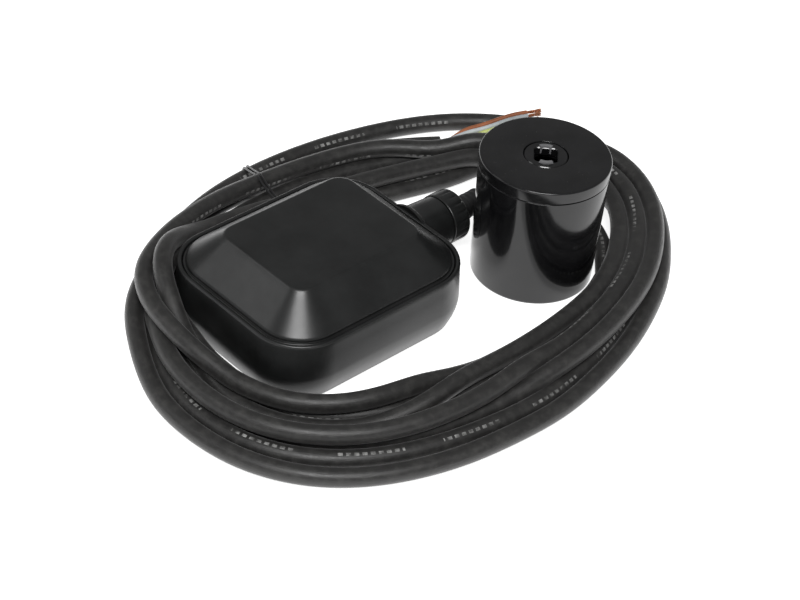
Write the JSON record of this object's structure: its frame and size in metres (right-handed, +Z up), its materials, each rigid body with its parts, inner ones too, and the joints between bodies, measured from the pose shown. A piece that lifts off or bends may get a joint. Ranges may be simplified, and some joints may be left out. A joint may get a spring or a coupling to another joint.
{
  "type": "cable float switch with counterweight",
  "caption": "Tilt float switch: flat black float with a cable gland, a loose tied coil of three-core cable with stripped ends, and a separate round counterweight.",
  "frame": {"origin": "centre of the float's flat resting face", "axes": "+X from the float along its cable neck, +Z up from the resting face"},
  "size_m": [0.2973, 0.2198, 0.0637],
  "materials": {
    "shell_black": "satin moulded polypropylene",
    "weight_black": "glossy moulding",
    "seal_rubber": "matte",
    "cable_rubber": "matte rubber jacket with a soft sheen",
    "tie_black": "satin",
    "steel": "bright",
    "case_cream": "satin",
    "case_seal_red": "matte silicone",
    "frame_grey": "satin",
    "lever_brass": "rolled strip",
    "switch_red": "satin",
    "switch_black": "satin",
    "copper": "bare copper",
    "ballast_iron": "as cast",
    "core_brown": "satin insulation",
    "core_blue": "satin insulation",
    "core_earth": "satin insulation, yellow with a green stripe"
  },
  "bodies": {
    "float": {"lower_shell": "shell_black", "upper_shell": "shell_black", "shell_seal": "seal_rubber", "gland_nut": "shell_black", "cable_grommet": "seal_rubber", "clamp_ring": "steel", "cable_entry": "cable_rubber", "switch_case": "case_cream", "case_seal": "case_seal_red", "case_cover": "case_cream", "case_screw_1": "steel", "case_screw_2": "steel", "case_screw_3": "steel", "case_screw_4": "steel", "track_frame": "frame_grey", "lever_pin": "steel", "switch_housing": "switch_red", "switch_cover": "switch_black", "switch_pin_1": "steel", "switch_pin_2": "steel", "contact_blade": "copper", "switch_terminal_1": "lever_brass", "switch_terminal_2": "lever_brass", "switch_terminal_3": "lever_brass", "inner_lead_brown": "core_brown", "inner_lead_blue": "core_blue", "inner_lead_earth": "core_earth", "strain_relief": "cable_rubber", "cable_lead": "cable_rubber", "cable_coil": "cable_rubber", "core_brown": "core_brown", "core_blue": "core_blue", "core_earth": "core_earth", "core_brown_copper": "copper", "core_blue_copper": "copper", "core_earth_copper": "copper", "coil_tie": "tie_black"},
    "ball": {"steel_ball": "steel"},
    "lever": {"trip_lever": "lever_brass"},
    "plunger": {"switch_plunger": "case_cream"},
    "counterweight": {"weight_cup": "weight_black", "weight_ballast": "ballast_iron", "weight_lid": "weight_black", "weight_grip": "weight_black"}
  },
  "joints": [
    {"name": "ball_roll", "type": "slide", "parent": "float", "child": "ball", "axis": [1, 0, 0], "range_m": [0, 0.024]},
    {"name": "lever_trip", "type": "hinge", "parent": "float", "child": "lever", "pos_m": [-0.028, 0, 0.026], "axis": [0, -1, 0], "range_deg": [0, 5.6]},
    {"name": "plunger_push", "type": "slide", "parent": "float", "child": "plunger", "axis": [0, 0, 1], "range_m": [0, 0.002]},
    {"name": "counterweight_lift", "type": "slide", "parent": "float", "child": "counterweight", "axis": [0, 0, 1], "range_m": [0, 0.12]}
  ],
  "couplings": [
    {"joint": "lever_trip", "follows": "ball_roll", "rad_per_m": 4.0724},
    {"joint": "plunger_push", "follows": "ball_roll", "ratio": 0.0833}
  ]
}
